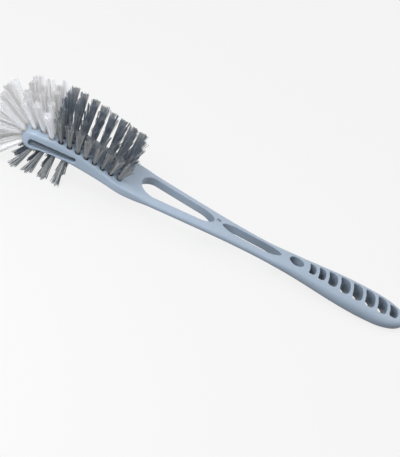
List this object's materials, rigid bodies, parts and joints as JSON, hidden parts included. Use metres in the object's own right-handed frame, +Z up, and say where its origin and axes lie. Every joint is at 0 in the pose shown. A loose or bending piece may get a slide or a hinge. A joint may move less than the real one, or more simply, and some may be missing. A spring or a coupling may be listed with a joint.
{
  "type": "toilet brush",
  "caption": "Long-handled toilet brush: slotted plastic handle with a windowed grip, fanned grey and white bristles on the head and short bristles under its nose.",
  "frame": {"origin": "bottom centre of the bounding box, on the surface that the brush lies on", "axes": "+X from the nose of the head to the end of the grip, +Y across the brush, +Z up, on the side of the long bristles"},
  "size_m": [0.4086, 0.073, 0.0725],
  "materials": {
    "moulding": "satin moulded polypropylene, pale blue-grey",
    "grey_bristle": "dark grey nylon filament",
    "white_bristle": "translucent white nylon filament"
  },
  "bodies": {
    "root": {"brush_body": "moulding", "white_row_1": "white_bristle", "white_row_2": "white_bristle", "white_row_3": "white_bristle", "grey_row_1": "grey_bristle", "grey_row_2": "grey_bristle", "grey_row_3": "grey_bristle", "grey_row_4": "grey_bristle", "grey_row_5": "grey_bristle", "grey_row_6": "grey_bristle", "grey_row_7": "grey_bristle", "grey_row_8": "grey_bristle", "nose_tuft_1": "white_bristle", "nose_tuft_2": "white_bristle", "nose_tuft_3": "white_bristle", "nose_tuft_4": "white_bristle", "nose_tuft_5": "white_bristle", "nose_tuft_6": "white_bristle", "nose_tuft_7": "white_bristle", "nose_tuft_8": "white_bristle", "nose_tuft_9": "white_bristle", "nose_tuft_10": "white_bristle", "nose_tuft_11": "white_bristle", "rim_row_1": "grey_bristle", "rim_row_2": "grey_bristle", "rim_row_3": "grey_bristle", "rim_row_4": "grey_bristle"}
  },
  "joints": []
}
